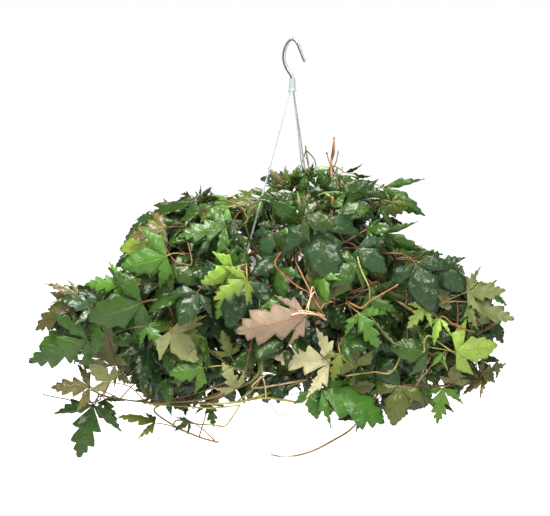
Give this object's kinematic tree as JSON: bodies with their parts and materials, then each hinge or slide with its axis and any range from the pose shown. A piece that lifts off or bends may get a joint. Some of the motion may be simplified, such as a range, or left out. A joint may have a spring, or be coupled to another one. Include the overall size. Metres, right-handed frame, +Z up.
{
  "type": "grape ivy in hanging basket",
  "caption": "House plant with lobed compound leaves on arching and trailing stems, rooted in the soil of a small round pot that slim strands hang from a moulded hook.",
  "frame": {"origin": "the top of the hook's inside, on the axis of the pot, where a ceiling hook carries the basket", "axes": "+Z up along the axis of the pot, +X to the right as seen from the front, -Y towards whoever looks at the front"},
  "size_m": [0.6992, 0.5036, 0.617],
  "materials": {
    "white_plastic": "satin white moulded plastic",
    "clear_grey_plastic": "clear grey moulded plastic",
    "potting_soil": "dark crumbly potting soil",
    "dark_green_leaf": "glossy dark green leaves on brown stems",
    "mid_green_leaf": "satin mid green leaves on brown stems",
    "olive_leaf": "satin olive leaves on brown stems"
  },
  "bodies": {
    "root": {"hanger_hook": "clear_grey_plastic", "hanger_strand_1": "white_plastic", "hanger_strand_2": "white_plastic", "hanger_strand_3": "white_plastic", "pot": "white_plastic", "soil": "potting_soil", "leafy_stem_high_left": "mid_green_leaf", "leafy_stem_bright_left": "mid_green_leaf", "leafy_stem_dark_left": "dark_green_leaf", "leafy_stem_reach_left": "dark_green_leaf", "leafy_stem_oak_left": "olive_leaf", "leafy_stem_low_left": "olive_leaf", "leafy_stem_low_left_bud": "mid_green_leaf", "leafy_stem_centre_left": "mid_green_leaf", "leafy_stem_upright": "mid_green_leaf", "leafy_stem_crown": "dark_green_leaf", "leafy_stem_budded": "dark_green_leaf", "leafy_stem_high_right": "olive_leaf", "leafy_stem_arched_right": "dark_green_leaf", "leafy_stem_dark_right": "dark_green_leaf", "leafy_stem_oak_right": "olive_leaf", "leafy_stem_front_right": "dark_green_leaf", "leafy_stem_centre_low": "mid_green_leaf", "leafy_stem_bottom": "dark_green_leaf", "leafy_stem_low_right": "mid_green_leaf", "leafy_stem_back_1": "dark_green_leaf", "leafy_stem_back_2": "dark_green_leaf", "leafy_stem_back_3": "dark_green_leaf", "leafy_stem_back_4": "dark_green_leaf", "leafy_stem_back_5": "dark_green_leaf", "leafy_stem_back_6": "dark_green_leaf", "leafy_stem_back_7": "dark_green_leaf", "leafy_stem_back_8": "dark_green_leaf", "leafy_stem_back_9": "dark_green_leaf"}
  },
  "joints": []
}
